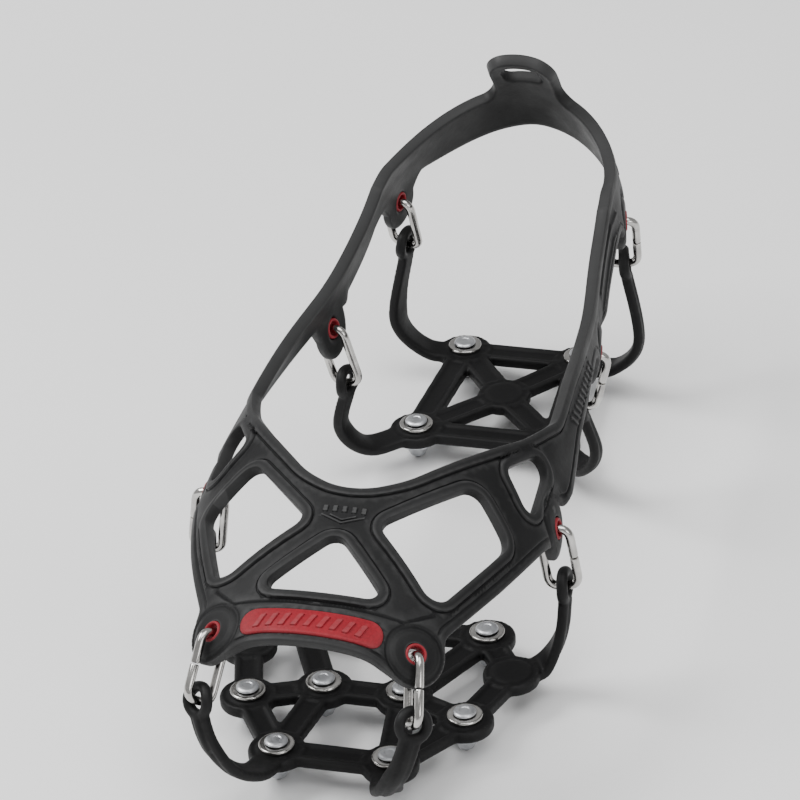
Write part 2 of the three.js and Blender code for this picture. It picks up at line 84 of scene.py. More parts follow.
# The harness. Heights are above its inner face.
FACE = 3.0                 # the plain outer face
PIVOT_HEIGHT = 1.6         # where the links hang in the eyelets
EYELET_BORE = 2.9
GROMMET_RADII = (2.15, 3.05)
GROMMET_ENDS = (-0.2, 3.5)
BOSS_HEIGHT = 0.2
BOSS_FLAT = 4.4
BOSS_RADII = (5.4, 6.6)    # where the boss round an eyelet begins and ends its slope
MOAT_RADIUS = 7.6          # the shallow moat round the boss
MOAT_DEPTH = 0.5
MOAT_WIDTH = 0.7
PLAIN_EDGE = (7.6, 9.6)    # how far from an eyelet the outer groove fades in
BADGE_BOTTOM = 2.0
BADGE_FLOOR = 2.3
BADGE_EDGE_HEIGHT = 2.9
RELIEF_HEIGHT = 0.4
RELIEF_SLOPE = 0.07
CREASE_DEPTH = 0.35
BEND_STARTS = 7
BEND_LENGTH = 6
BEND_HALF_WIDTH = 8.7
BEND_FADE = 7

# The links.
LINK_LENGTH = 18.5
LINK_HALF_WIDTH = 4.3
LINK_CORNER = 3.4
LINK_WIRE = 1.25
LINK_SEAM = 0.3
SEAM_CHAMFER = ((0, 0.72), (0.12, 0.92), (0.45, 1))   # along the wire, share of its radius

# The matrices.
PAD_RADIUS = 8
WEB_WIDTH = 8
ARM_THICKNESS = 3
ARM_ROOT_WIDTH = 9
ARM_NECK_WIDTH = 6
ARM_EYE_RADIUS = 5.4
ARM_EYE_BORE = 2.4
ARM_EYE_LIP = 0.35
ARM_TURNS = (0.1, 0.8)     # the shares of its length over which an arm turns to face its link
ARM_NARROWS = (0.3, 0.8)
WEB_INSET = 5.4
MATRIX_VOXEL = 0.5
MATRIX_SMOOTHING = 5

MATRIX_BOTTOM = cad_box("forefoot_matrix")[0][2]
MATRIX_THICKNESS = 3.5
MATRIX_TOP = MATRIX_BOTTOM + MATRIX_THICKNESS
MATRIX_MIDDLE = MATRIX_BOTTOM + MATRIX_THICKNESS / 2

# The spikes.
SOCKET_RADIUS = 1.45
SHANK_RADIUS = 2.0
SHANK_HOLE = 2.3
FLANGE_RADIUS = 5.8
HEAD_RADIUS = 3.25
TIP_RADIUS = 1.2
WASHER_RADIUS = 5.0

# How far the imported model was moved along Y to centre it.
FRONT_SPIKE_Y = -107
SHIFT = np.array([0, np.mean(cad_box("spike_tip_forefoot_front_left"), 0)[1] - FRONT_SPIKE_Y, 0])


def pad_place(area, name):
    """The place of a spike on the left half, from its solid."""
    x, y, _ = np.mean(cad_box(f"spike_body_{area}_{name}_left"), 0) - SHIFT
    return (x, y)


# ---------------------------------------------------------------- the surface of the shoe


def around_heel(degrees, radius):
    """A place in the flat harness, at an angle and a distance from the middle of the heel."""
    angle = math.radians(degrees)
    return (radius * math.cos(angle), HEEL_CENTRE_Y + radius * math.sin(angle))


# One entry for each pair of links. An eyelet is a place in the flat harness, and its lobe faces
# an angle from +p. The pull of the link bends the lobe inwards, in degrees, and the left link
# hangs along a direction in space. A lobe is a radius, and where its round edge begins and ends
# in degrees from its facing.
STATIONS = {
    "toe": {
        "eyelet": (25.3, -115.7), "facing": -60, "bend": 9, "hang": (0.12, -0.65, -0.75),
        "lobe": (8.7, -40, 95),
    },
    "ball": {
        "eyelet": (58, -50), "facing": 0, "bend": 20, "hang": (0.14, 0, -1),
        "lobe": (7.6, -95, 95),
    },
    "heel_front": {
        "eyelet": (79.6, 38), "facing": 0, "bend": 24, "hang": (-0.26, 0, -1),
        "lobe": (7.6, -95, 95),
    },
    "heel_rear": {
        "eyelet": around_heel(31, 84), "facing": 31, "bend": 10, "hang": (-0.05, 0.3, -1),
        "lobe": (7.6, -95, 95),
    },
}


def smoothstep(x, low, high):
    """A smooth rise from 0 at low to 1 at high."""
    t = np.clip((np.asarray(x, float) - low) / (high - low), 0, 1)
    return t * t * (3 - 2 * t)


def lengths(vectors):
    """The lengths of vectors, with their last axis kept."""
    return np.sqrt((np.asarray(vectors) ** 2).sum(-1, keepdims=True))


def unit(vectors):
    return np.asarray(vectors, float) / lengths(vectors)


def shoe_half_width(y):
    """Half the width of the shoe: a super-ellipse before the ball, a gentle taper behind it."""
    t = np.clip((BALL_Y - y) / TOE_REACH, 0, 0.999)
    toe = BALL_HALF_WIDTH * (1 - t**TOE_FULLNESS) ** (1 / TOE_FULLNESS)
    share = smoothstep(y, BALL_Y, HEEL_CENTRE_Y)
    return np.where(y < BALL_Y, toe, BALL_HALF_WIDTH + share * (HEEL_HALF_WIDTH - BALL_HALF_WIDTH))


def shoe_point(p, q):
    """The place on the shoe of points of the flat harness."""
    y = np.minimum(q, HEEL_CENTRE_Y)
    behind = q - y
    across = np.maximum(np.hypot(p, behind), 1e-9)
    along_x = np.where(behind > 0, p / across, np.where(p < 0, -1.0, 1.0))
    along_y = np.where(behind > 0, behind / across, 0)
    reach = 1 / np.hypot(along_x / shoe_half_width(y), along_y / HEEL_REACH)
    rise = CREST_HEIGHT + CREST_SLOPE * y - SIDE_HEIGHT
    quarter = (math.pi / 2) * np.sqrt((reach**2 + rise**2) / 2)
    angle = np.minimum(across / quarter, 1) * math.pi / 2
    out = reach * np.sin(angle)
    drop = np.maximum(across - quarter, 0)
    height = SIDE_HEIGHT + rise * np.cos(angle) - drop
    return np.stack([along_x * out, y + along_y * out, height], -1)


def normal_of(surface, p, q, step=0.05):
    """The outward unit normals of a surface that is given over p and q."""
    along_p = surface(p + step, q) - surface(p - step, q)
    along_q = surface(p, q + step) - surface(p, q - step)
    return unit(np.cross(along_p, along_q))


def steps_at(eyelet, facing):
    """The steps in the flat sheet that move one millimetre over the shoe, outwards and aside."""
    p, q = eyelet
    steps = []
    for angle in np.radians([facing, facing + 90]):
        step = np.array([math.cos(angle), math.sin(angle)])
        moved = shoe_point(p + step[0] / 2, q + step[1] / 2)
        steps.append(step / lengths(moved - shoe_point(p - step[0] / 2, q - step[1] / 2)))
    return steps


for station in STATIONS.values():
    station["steps"] = steps_at(station["eyelet"], station["facing"])


def seen_from(station, p, q):
    """How far places are outwards and aside of an eyelet on either side, in millimetres."""
    offset = np.stack([np.abs(p) - station["eyelet"][0], q - station["eyelet"][1]], -1)
    return [(offset * step).sum(-1) / (step**2).sum() for step in station["steps"]]


def pulled_in(p, q):
    """How far the links' pull draws the lobes inwards, in millimetres."""
    depth = 0
    for station in STATIONS.values():
        out, aside = seen_from(station, p, q)
        along = out + BEND_STARTS
        share = 1 - smoothstep(np.abs(aside), BEND_HALF_WIDTH, BEND_HALF_WIDTH + BEND_FADE)
        turning = np.clip(along, 0, BEND_LENGTH)
        straight = np.maximum(along - BEND_LENGTH, 0)
        drop = turning**2 / (2 * BEND_LENGTH) + straight
        depth = depth + share * math.radians(station["bend"]) * drop
    return depth


def harness_point(p, q):
    """The place of the harness's inner face."""
    return shoe_point(p, q) - pulled_in(p, q)[..., None] * normal_of(shoe_point, p, q)


def worn(p, q, w):
    """The place in space of points of the flat harness, w above its inner face."""
    p, q, w = np.broadcast_arrays(*(np.asarray(v, float) for v in (p, q, w)))
    return harness_point(p, q) + w[..., None] * normal_of(harness_point, p, q)


def hanging_of(name, side):
    """Where a link hangs: upper and lower pivot, the way it hangs and the eyelet's axis."""
    station = STATIONS[name]
    p, q = np.array([station["eyelet"][0] * side]), np.array([station["eyelet"][1]])
    down = unit(np.array(station["hang"]) * [side, 1, 1])
    top = worn(p, q, PIVOT_HEIGHT)[0]
    through = normal_of(harness_point, p, q)[0]
    through = unit(through - through.dot(down) * down)
    return top, top + down * LINK_LENGTH, down, through


# ---------------------------------------------------------------- flat outlines

CUT_SHARE = 0.97           # how much of an edge its two rounded corners may take up


def resampled(path, spacing, closed=True):
    """The path with points added so that no run is longer than spacing."""
    path = np.asarray(path, float)
    ends = np.roll(path, -1, 0) if closed else path[1:]
    points = []
    for start, end in zip(path, ends):
        count = max(1, math.ceil(np.hypot(*(end - start)) / spacing))
        points += [start + (end - start) * k / count for k in range(count)]
    if not closed:
        points.append(path[-1])
    return np.array(points)


def rounded_outline(corners, arc_step=0.9):
    """A closed outline whose corners [x, y, radius] are rounded."""
    places = np.array([corner[:2] for corner in corners], float)
    to_before = np.roll(places, 1, 0) - places
    to_after = np.roll(places, -1, 0) - places
    cosine = (unit(to_before) * unit(to_after)).sum(1)
    half = np.arccos(np.clip(cosine, -1, 1)) / 2
    cut = np.array([corner[2] for corner in corners]) / np.tan(half)
    fits_before = CUT_SHARE * lengths(to_before)[:, 0] / np.maximum(cut + np.roll(cut, 1), 1e-9)
    fits_after = CUT_SHARE * lengths(to_after)[:, 0] / np.maximum(cut + np.roll(cut, -1), 1e-9)
    cut = cut * np.minimum(1, np.minimum(fits_before, fits_after))
    points = []
    for i, place in enumerate(places):
        turn = math.pi - 2 * half[i]
        if cut[i] <= 0 or turn < 0.01:
            points.append(place)
            continue
        radius = cut[i] * math.tan(half[i])
        inward = unit(unit(to_before[i]) + unit(to_after[i]))
        centre = place + inward * radius / math.sin(half[i])
        start = place + unit(to_before[i]) * cut[i] - centre
        sense = np.sign(to_after[i][0] * to_before[i][1] - to_after[i][1] * to_before[i][0])
        steps = max(4, math.ceil(turn * radius / arc_step))
        for angle in np.linspace(0, sense * turn, steps + 1):
            c, s = math.cos(angle), math.sin(angle)
            points.append(centre + (c * start[0] - s * start[1], s * start[0] + c * start[1]))
    return np.array(points)


def mirrored_corners(half):
    """The corners of a symmetric outline, from those of its left half."""
    return half + [(-x, y, radius) for x, y, radius in reversed(half) if x > 0]


def mirrored(points):
    return (points * [-1, 1])[::-1]


def around_eyelet(name, radius, angles):
    """Places at a distance from an eyelet, at angles in degrees from the way its lobe faces."""
    out, aside = STATIONS[name]["steps"]
    turn = np.radians(angles)[:, None]
    return np.array(STATIONS[name]["eyelet"]) + radius * (np.cos(turn) * out + np.sin(turn) * aside)


def ring_round(name, radius, sides=40):
    """A circle round an eyelet, as it lies in the flat harness."""
    return around_eyelet(name, radius, np.arange(sides) * 360 / sides)


def lobe(name):
    """The round edge below an eyelet, as corners of the outline."""
    radius, start, end = STATIONS[name]["lobe"]
    return [(x, y, 0) for x, y in around_eyelet(name, radius, np.linspace(start, end, 23))]


# Outlines as corners (p, q, radius). Those that cross the middle give their left half only.
OUTER_EDGE = [
    (0, -123.6, 90), (15, -123, 30), *lobe("toe"), (31.4, -107.8, 3),
    (43, -85.5, 60), (55.5, -60, 4), *lobe("ball"), (61.6, -38, 4),
    (63, -14, 60), (70, 16, 40), (73.6, 29, 5), *lobe("heel_front"),
    (80.5, 50, 5), (82, 75, 60), (*around_heel(15, 81), 6),
    *lobe("heel_rear"), (*around_heel(47, 82), 6),
    (*around_heel(64, 88), 80), (*around_heel(82, 86), 80),
]
ANKLE_EDGE = [
    (0, -76, 14), (12, -69, 30), (40, -38, 60), (50.8, -21.5, 12),
    (55.5, -1, 60), (68, 38, 80),
    (70.5, 75, 70), (*around_heel(34, 73), 70), (*around_heel(62, 73), 70),
    (13, 145, 5), (12.5, 124, 7),
]
PULL_TAB_SLOT = [(8, 128, 3.5), (8, 137, 3.5)]
CENTRE_OPENING = [(0, -88.3, 3), (15.6, -106.6, 3), (0, -108.6, 80)]
SIDE_OPENING = [(8.2, -84, 4), (29.5, -61.2, 4.5), (42.3, -71.6, 4.5), (26.6, -103, 4)]
RAIL_OPENING = [(36.2, -50.6, 3), (51, -31, 3), (47.3, -60.8, 3)]
BADGE_OUTLINE = [
    (0, -113.8, 120), (16.7, -112.8, 3.5), (16.7, -120.3, 3.5), (0, -121.4, 120),
]


# ---------------------------------------------------------------- distances and flat meshes

BATCH = 2000               # points measured at a time
ROW_LEEWAY = 0.97          # how near a row may come to another edge, as a share of its level
CLEAR_OF_EDGES = 0.3
CLEAR_OF_MARKS = 0.12
SAME_PLACE = 0.1
TRIANGLE_HEIGHT = 0.87     # of one with equal sides, as a share of a side


def distance_to(points, paths, closed=True):
    """The shortest distance from each point to a list of polylines."""
    best = np.full(len(points), np.inf)
    for path in paths:
        starts = path if closed else path[:-1]
        along = (np.roll(path, -1, 0) if closed else path[1:]) - starts
        squares = np.maximum((along**2).sum(1), 1e-12)
        for low in range(0, len(points), BATCH):
            batch = slice(low, low + BATCH)
            offset = points[batch, None] - starts
            t = np.clip((offset * along).sum(2) / squares, 0, 1)
            gap = lengths(offset - t[..., None] * along)[..., 0].min(1)
            best[batch] = np.minimum(best[batch], gap)
    return best


def inside(points, loop):
    """Which points lie inside a closed loop."""
    x, y = points[:, 0, None], points[:, 1, None]
    (x0, y0), (x1, y1) = loop.T, np.roll(loop, -1, 0).T
    crosses = (y0 > y) != (y1 > y)
    with np.errstate(divide="ignore", invalid="ignore"):
        at = x0 + (y - y0) * (x1 - x0) / (y1 - y0)
    return (crosses & (x < at)).sum(1) % 2 == 1


def in_region(points, outline, holes):
    """Which points lie inside the outline and outside its holes."""
    keep = inside(points, outline)
    for hole in holes:
        keep &= ~inside(points, hole)
    return keep


def beside(path, distance, closed=True):
    """The points of a path, moved sideways by a distance."""
    if closed:
        along = np.roll(path, -1, 0) - np.roll(path, 1, 0)
    else:
        along = np.gradient(path, axis=0)
    return path + distance * unit(along)[:, ::-1] * [1, -1]


def flat_mesh(outline, holes, levels, details, grid, marks=(), spacing=1.4):
    """Triangles that fill a flat region. Their points follow its edges at each of the levels,
    take in the detail points, and lie in a grid elsewhere. Marks are closed lines whose runs
    become edges."""
    loops = [resampled(loop, spacing) for loop in (outline, *holes)]
    rows = []
    for level in levels:
        ring = np.concatenate([beside(loop, s * level) for loop in loops for s in (1, -1)])
        rows.append(ring[distance_to(ring, loops) > ROW_LEEWAY * level])
    detail_points = np.concatenate(details) if details else np.empty((0, 2))
    detail_points = detail_points[distance_to(detail_points, loops) > CLEAR_OF_EDGES]
    low, high = outline.min(0), outline.max(0)
    us, vs = np.meshgrid(
        np.arange(low[0], high[0], grid), np.arange(low[1], high[1], grid * TRIANGLE_HEIGHT),
    )
    us = us + (np.arange(len(us)) % 2)[:, None] * grid / 2
    cells = np.stack([us.ravel(), vs.ravel()], 1)
    cells = cells[in_region(cells, outline, holes)]
    cells = cells[distance_to(cells, loops) > levels[-1] + grid / 3]
    if details:
        cells = cells[distance_to(cells, details, closed=False) > grid / 2]
    inner = np.concatenate([*rows, detail_points, cells])
    inner = inner[in_region(inner, outline, holes)]
    _, first = np.unique(np.round(inner / SAME_PLACE), axis=0, return_index=True)
    inner = inner[np.sort(first)]
    if marks:
        inner = inner[distance_to(inner, marks) > CLEAR_OF_MARKS]
    edges, start = [], 0
    for loop in (*loops, *marks):
        count = len(loop)
        edges += [(start + k, start + (k + 1) % count) for k in range(count)]
        start += count
    everything = np.concatenate([*loops, *marks, inner])
    points, _, faces, *_ = delaunay_2d_cdt([Vector(v) for v in everything], edges, [], 0, 1e-4)
    points = np.array([(v.x, v.y) for v in points])
    faces = np.array([list(face) for face in faces])
    faces = faces[in_region(points[faces].mean(1), outline, holes)]
    (ax, ay), (bx, by), (cx, cy) = np.moveaxis(points[faces], 0, 2)
    clockwise = (bx - ax) * (cy - ay) < (by - ay) * (cx - ax)
    faces[clockwise] = faces[clockwise][:, ::-1]
    return points, faces


def slab(points, faces, top, bottom, place):
    """A closed sheet over a flat mesh, between the heights top and bottom."""
    count = len(points)
    verts = np.concatenate([place(*points.T, top), place(*points.T, bottom)])
    edges = {}
    for a, b, c in faces.tolist():
        for edge in ((a, b), (b, c), (c, a)):
            edges[edge] = True
    rim = [edge for edge in edges if edge[::-1] not in edges]
    walls = [(a + count, b + count, b, a) for a, b in rim]
    under = (faces[:, ::-1] + count).tolist()
    used = np.unique(faces)
    renumber = {old: new for new, old in enumerate(np.concatenate([used, used + count]).tolist())}
    kept = verts[list(renumber)]
    return kept, [tuple(renumber[v] for v in face) for face in faces.tolist() + under + walls]


# ---------------------------------------------------------------- meshes and pieces


def skin(rings, closed=False):
    """Joins rings of points into a tube, capped at both ends unless it closes on itself."""
    rings = np.asarray(rings)
    count, sides = rings.shape[:2]
    faces = []
    for i in range(count if closed else count - 1):
        j = (i + 1) % count
        for k in range(sides):
            m = (k + 1) % sides
            faces.append((i * sides + k, i * sides + m, j * sides + m, j * sides + k))
    if not closed:
        faces.append(tuple(range(sides))[::-1])
        faces.append(tuple((count - 1) * sides + k for k in range(sides)))
    return rings.reshape(-1, 3), faces


def turned(profile, sides, closed=False):
    """A profile of (radius, height) turned round the Z axis. A closed profile makes a ring."""
    radius, height = np.array(profile, float).T
    angles = (np.arange(sides) * 2 * math.pi / sides)[:, None]
    x, y = radius * np.cos(angles), radius * np.sin(angles)
    rings = np.stack([x, y, np.broadcast_to(height, x.shape)], -1)
    return skin(rings, True) if closed else skin(rings.swapaxes(0, 1))


def softened(profile, size, closed=False):
    """A profile whose corners are cut twice, which reads as rounded."""
    points = np.array(profile, float)
    for _ in range(2):
        cut = []
        last = len(points) - 1
        for i, point in enumerate(points):
            if not closed and i in (0, last):
                cut.append(point)
                continue
            before, after = points[i - 1] - point, points[(i + 1) % len(points)] - point
            for way in (before, after):
                run = float(lengths(way)[0])
                cut.append(point + way * min(size, 0.3 * run) / run)
        points = np.array(cut)
        size *= 0.45
    return points


def joined(parts):
    """Several (verts, faces) as one."""
    verts, faces, start = [], [], 0
    for part_verts, part_faces in parts:
        verts.append(part_verts)
        faces += [tuple(v + start for v in face) for face in part_faces]
        start += len(part_verts)
    return np.concatenate(verts), faces


def signed_volume(verts, faces):
    """Six times the volume, negative where the faces look inwards."""
    total = 0.0
    for face in faces:
        a = verts[face[0]]
        for k in range(1, len(face) - 1):
            total += np.dot(a, np.cross(verts[face[k]], verts[face[k + 1]]))
    return total


def mesh_of(name, verts, faces):
    """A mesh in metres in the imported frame, with its faces looking outwards."""
    if signed_volume(verts, faces) < 0:
        faces = [face[::-1] for face in faces]
    mesh = bpy.data.meshes.new(name)
    mesh.from_pydata(((np.asarray(verts) + SHIFT) * MM).tolist(), [], faces)
    mesh.validate()
    return mesh


def piece(name, mesh, material, slot, body, *nodes, sharp=40):
    """A visible piece that rides on a body and stands for solids."""
    mesh.shade_smooth()
    mesh.set_sharp_from_angle(angle=math.radians(sharp))
    mesh.materials.clear()
    mesh.materials.append(material)
    obj = bpy.data.objects.new(name, mesh)
    bpy.context.scene.collection.objects.link(obj)
    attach(obj, body)
    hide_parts(*nodes)
    return obj


def fused(name, mesh, voxel, smoothing):
    """The outside of overlapping closed shells, as one moulded body with soft corners."""
    obj = bpy.data.objects.new(name, mesh)
    bpy.context.scene.collection.objects.link(obj)
    remesh = obj.modifiers.new("fuse", "REMESH")
    remesh.mode = "VOXEL"
    remesh.voxel_size = voxel * MM
    smooth = obj.modifiers.new("soften", "SMOOTH")
    smooth.factor = 0.5
    smooth.iterations = smoothing
    graph = bpy.context.evaluated_depsgraph_get()
    result = bpy.data.meshes.new_from_object(obj.evaluated_get(graph))
    bpy.data.objects.remove(obj)
    return result


# ---------------------------------------------------------------- materials


def new_material(name):
    """A material with its nodes, its links and its shader."""
    material = bpy.data.materials.new(name)
    material.use_nodes = True
    nodes = material.node_tree.nodes
    return material, nodes, material.node_tree.links, nodes["Principled BSDF"]


def noise(nodes, links, scale, detail, stretch=(1, 1, 1)):
    """A noise fixed to the piece. Its scale is in features per metre."""
    where = nodes.new("ShaderNodeTexCoord")
    mapping = nodes.new("ShaderNodeMapping")
    mapping.inputs["Scale"].default_value = stretch
    texture = nodes.new("ShaderNodeTexNoise")
    texture.inputs["Scale"].default_value = scale
    texture.inputs["Detail"].default_value = detail
    texture.inputs["Roughness"].default_value = 0.55
    links.new(where.outputs["Object"], mapping.inputs["Vector"])
    links.new(mapping.outputs["Vector"], texture.inputs["Vector"])
    return texture.outputs["Fac"]


def ramp(nodes, links, value, stops):
    """A colour ramp over (position, colour) stops."""
    node = nodes.new("ShaderNodeValToRGB")
    elements = node.color_ramp.elements
    while len(elements) < len(stops):
        elements.new(0.5)
    for element, (position, color) in zip(elements, stops):
        element.position = position
        element.color = (*color, 1)
    links.new(value, node.inputs["Fac"])
    return node.outputs["Color"]


def mix(nodes, links, kind, share, a, b):
    """Two colours mixed. Each input is a socket or a value."""
    node = nodes.new("ShaderNodeMix")
    node.data_type = "RGBA"
    node.blend_type = kind
    for socket, value in ((node.inputs[0], share), (node.inputs[6], a), (node.inputs[7], b)):
        if hasattr(value, "links"):
            links.new(value, socket)
        else:
            socket.default_value = value
    return node.outputs[2]


def bump(nodes, links, height, depth, normal=None):
    """A bump of a depth in millimetres, on top of another one if given."""
    node = nodes.new("ShaderNodeBump")
    node.inputs["Distance"].default_value = depth * MM
    node.inputs["Strength"].default_value = 1
    links.new(height, node.inputs["Height"])
    if normal:
        links.new(normal, node.inputs["Normal"])
    return node.outputs["Normal"]


def grey(value):
    return (value, value, value)


# Pale grey of the painted highlight on sharp rubber edges.
EDGE_HIGHLIGHT_PALE = (0.4, 0.4, 0.4, 1)


def rubber(name, dark, light, roughness, edge_highlight):
    """Moulded elastomer: a fine sandy grain, faint clouds, and a painted highlight that makes sharp
    edges paler.
    """
    material, nodes, links, shader = new_material(name)
    clouds = ramp(nodes, links, noise(nodes, links, 45, 4), [(0.3, dark), (0.75, light)])
    grain = noise(nodes, links, 1500, 2)
    specks = ramp(nodes, links, grain, [(0.35, grey(0.86)), (0.7, grey(1.1))])
    color = mix(nodes, links, "MULTIPLY", 1.0, clouds, specks)
    # Painted highlight: sharp edges, found from pointiness, are mixed towards a pale grey by the
    # given share.
    geometry = nodes.new("ShaderNodeNewGeometry")
    edges = ramp(nodes, links, geometry.outputs["Pointiness"], [(0.5, grey(0)), (0.56, grey(1))])
    painted_highlight = mix(nodes, links, "MIX", edge_highlight, color, EDGE_HIGHLIGHT_PALE)
    color = mix(nodes, links, "MIX", edges, color, painted_highlight)
    links.new(color, shader.inputs["Base Color"])
    scuffs = noise(nodes, links, 130, 5, (1, 0.35, 1))
    smooth, dull = grey(roughness - 0.07), grey(roughness + 0.1)
    rough = ramp(nodes, links, scuffs, [(0.3, smooth), (0.7, dull)])
    links.new(rough, shader.inputs["Roughness"])
    coarse = bump(nodes, links, noise(nodes, links, 420, 2), 0.05)
    fine = bump(nodes, links, noise(nodes, links, 2600, 2), 0.03, coarse)
    links.new(fine, shader.inputs["Normal"])
    shader.inputs["Specular IOR Level"].default_value = 0.18
    return material


def metal(name, dark, light, roughness, grain, depth, stretch=(1, 1, 1)):
    """Bare metal with fine marks and patches of duller surface."""
    material, nodes, links, shader = new_material(name)
    shader.inputs["Metallic"].default_value = 1
    patches = ramp(nodes, links, noise(nodes, links, 220, 4), [(0.3, dark), (0.65, light)])
    links.new(patches, shader.inputs["Base Color"])
    marks = noise(nodes, links, grain, 4, stretch)
    polished, dull = grey(roughness * 0.7), grey(roughness * 1.5)
    rough = ramp(nodes, links, marks, [(0.3, polished), (0.75, dull)])
    links.new(rough, shader.inputs["Roughness"])
    links.new(bump(nodes, links, marks, depth), shader.inputs["Normal"])
    return material


HARNESS_RUBBER = rubber(
    "harness_rubber", (0.004, 0.0041, 0.0044), (0.0074, 0.0075, 0.0079), 0.5, 0.09,
)
MATRIX_RUBBER = rubber(
    "matrix_rubber", (0.002, 0.002, 0.0022), (0.004, 0.004, 0.0043), 0.52, 0.03,
)
RED_RUBBER = rubber("red_rubber", (0.2, 0.0045, 0.011), (0.27, 0.009, 0.018), 0.45, 0.06)
LINK_STEEL = metal(
    "link_steel", (0.34, 0.33, 0.32), (0.55, 0.54, 0.52), 0.16, 900, 0.006, (1, 1, 0.15),
)
SPIKE_ALUMINIUM = metal("spike_aluminium", (0.45, 0.46, 0.48), (0.62, 0.63, 0.65), 0.38, 1800, 0.02)
TIP_CARBIDE = metal("tip_carbide", (0.13, 0.13, 0.135), (0.22, 0.22, 0.225), 0.36, 2400, 0.02)


# ---------------------------------------------------------------- harness


def bars(centre, pitch, count, size, lean):
    """Slanted bars in a row along p, as small closed outlines."""
    width, height = size
    outlines = []
    for k in range(count):
        x = centre[0] + (k - (count - 1) / 2) * pitch
        corners = [(-width, -height), (width, -height), (width, height), (-width, height)]
        outlines.append(np.array([
            (x + dx / 2 + lean * dy / 2, centre[1] + dy / 2) for dx, dy in corners
        ]))
    return outlines


def raised(points, outlines):
    """1 inside the outlines and 0 outside, with a short slope between."""
    height = np.zeros(len(points))
    for outline in outlines:
        gap = distance_to(points, [outline])
        signed = np.where(inside(points, outline), gap, -gap)
        height = np.maximum(height, smoothstep(signed, -RELIEF_SLOPE, RELIEF_SLOPE))
    return height


def round_about(outlines, offsets, spacing):
    """Closed lines beside outlines, which keep their slopes crisp."""
    loops = [resampled(outline, spacing) for outline in outlines]
    return [beside(loop, offset) for loop in loops for offset in offsets]


def fan_line(radius, start, end):
    """A line round the heel."""
    return np.array([around_heel(degrees, radius) for degrees in np.linspace(start, end, 24)])


def chevron(half_width, top, drop, thickness):
    """A V that points at the toe, as a closed outline."""
    ends = ((-half_width, top), (0, top - drop), (half_width, top))
    lower = [(x, y - thickness) for x, y in reversed(ends)]
    return np.array([*ends, *lower])


FRONT_MARK = [
    chevron(5.2, -82.5, 2.5, 0.6), chevron(3.2, -82.5, 1.5, 0.55),
    *bars((0, -80.8), 2.3, 5, (1.1, 1.9), 0),
]
BADGE_MARK = bars((0, -117.2), 2.9, 9, (1.3, 3.6), 0.35)
RAIL_MARK_START = -14
RAIL_LEAN = 0.29
RAIL_BAR = ((56.9, 0), (60.6, 1.6), (60.6, 2.5), (56.9, 0.9))
RAIL_MARK = [
    np.array([(x + k * RAIL_LEAN, RAIL_MARK_START + k + dy) for x, dy in RAIL_BAR])
    for k in range(0, 33, 3)
]
HALF_RIDGES = [
    np.array([(73.6, 50), (74.7, 75)]), fan_line(74.9, 0, 12), fan_line(79.5, 48, 78),
    np.array([(77.2, 50), (78.2, 75)]), fan_line(78.4, 0, 12), fan_line(83.5, 48, 78),
]
CREASE = np.array([(-27, -104), (-20.5, -110), (0, -111.6), (20.5, -110), (27, -104)])
RIDGE_SLOPE = (0.2, 0.75)
RIDGE_FADE = (2, 3.4)      # how far from an edge the ridges fade in
CREASE_SLOPE = (0.1, 0.5)
CREASE_FADE = (2.6, 3.2)

# How far rows of points lie from the lines they follow, positive to the right of their run.
RECESS_EDGE = (-0.08, 0.08)
MARK_EDGE = (-0.09, 0.09)
ROUND_RECESS = (0.35,)
ROUND_MARK = (0.35, 0.8)
LINE_ROWS = (-0.7, -0.35, 0, 0.35, 0.7)
RECESS_SPACING = 1.0
MARK_SPACING = 0.6
LINE_SPACING = 0.9
BADGE_MARK_SPACING = 0.7
MOAT_ROWS = np.array([-0.5, 0, 0.5, 1])
BETWEEN_LEVELS = {1.45, 3.4}
HARNESS_GRID = 1.3

# Heights against the distance from an edge.
RIM_PROFILE = (
    (0, 0.15, 0.45, 1.1, 1.9, 2.3, 2.5, 2.65, 2.85, 3.0),
    (0.25, 0.56, 0.68, 0.72, 0.68, 0.6, 0.1, -0.25, -0.25, 0),
)
OUTER_PROFILE = (
    (0, 0.18, 0.55, 1.0, 2.0, 2.25, 2.5, 2.75),
    (-0.55, -0.22, -0.03, 0, 0, -0.35, -0.35, 0),
)
OUTER_ROUNDING = 1.2
INNER_PROFILE = ((0, 0.18, 0.6), (0.5, 0.18, 0))
BADGE_PROFILE = ((0, 0.15, 0.45, 0.9, 3), (0, 0.3, 0.45, 0.5, 0.62))


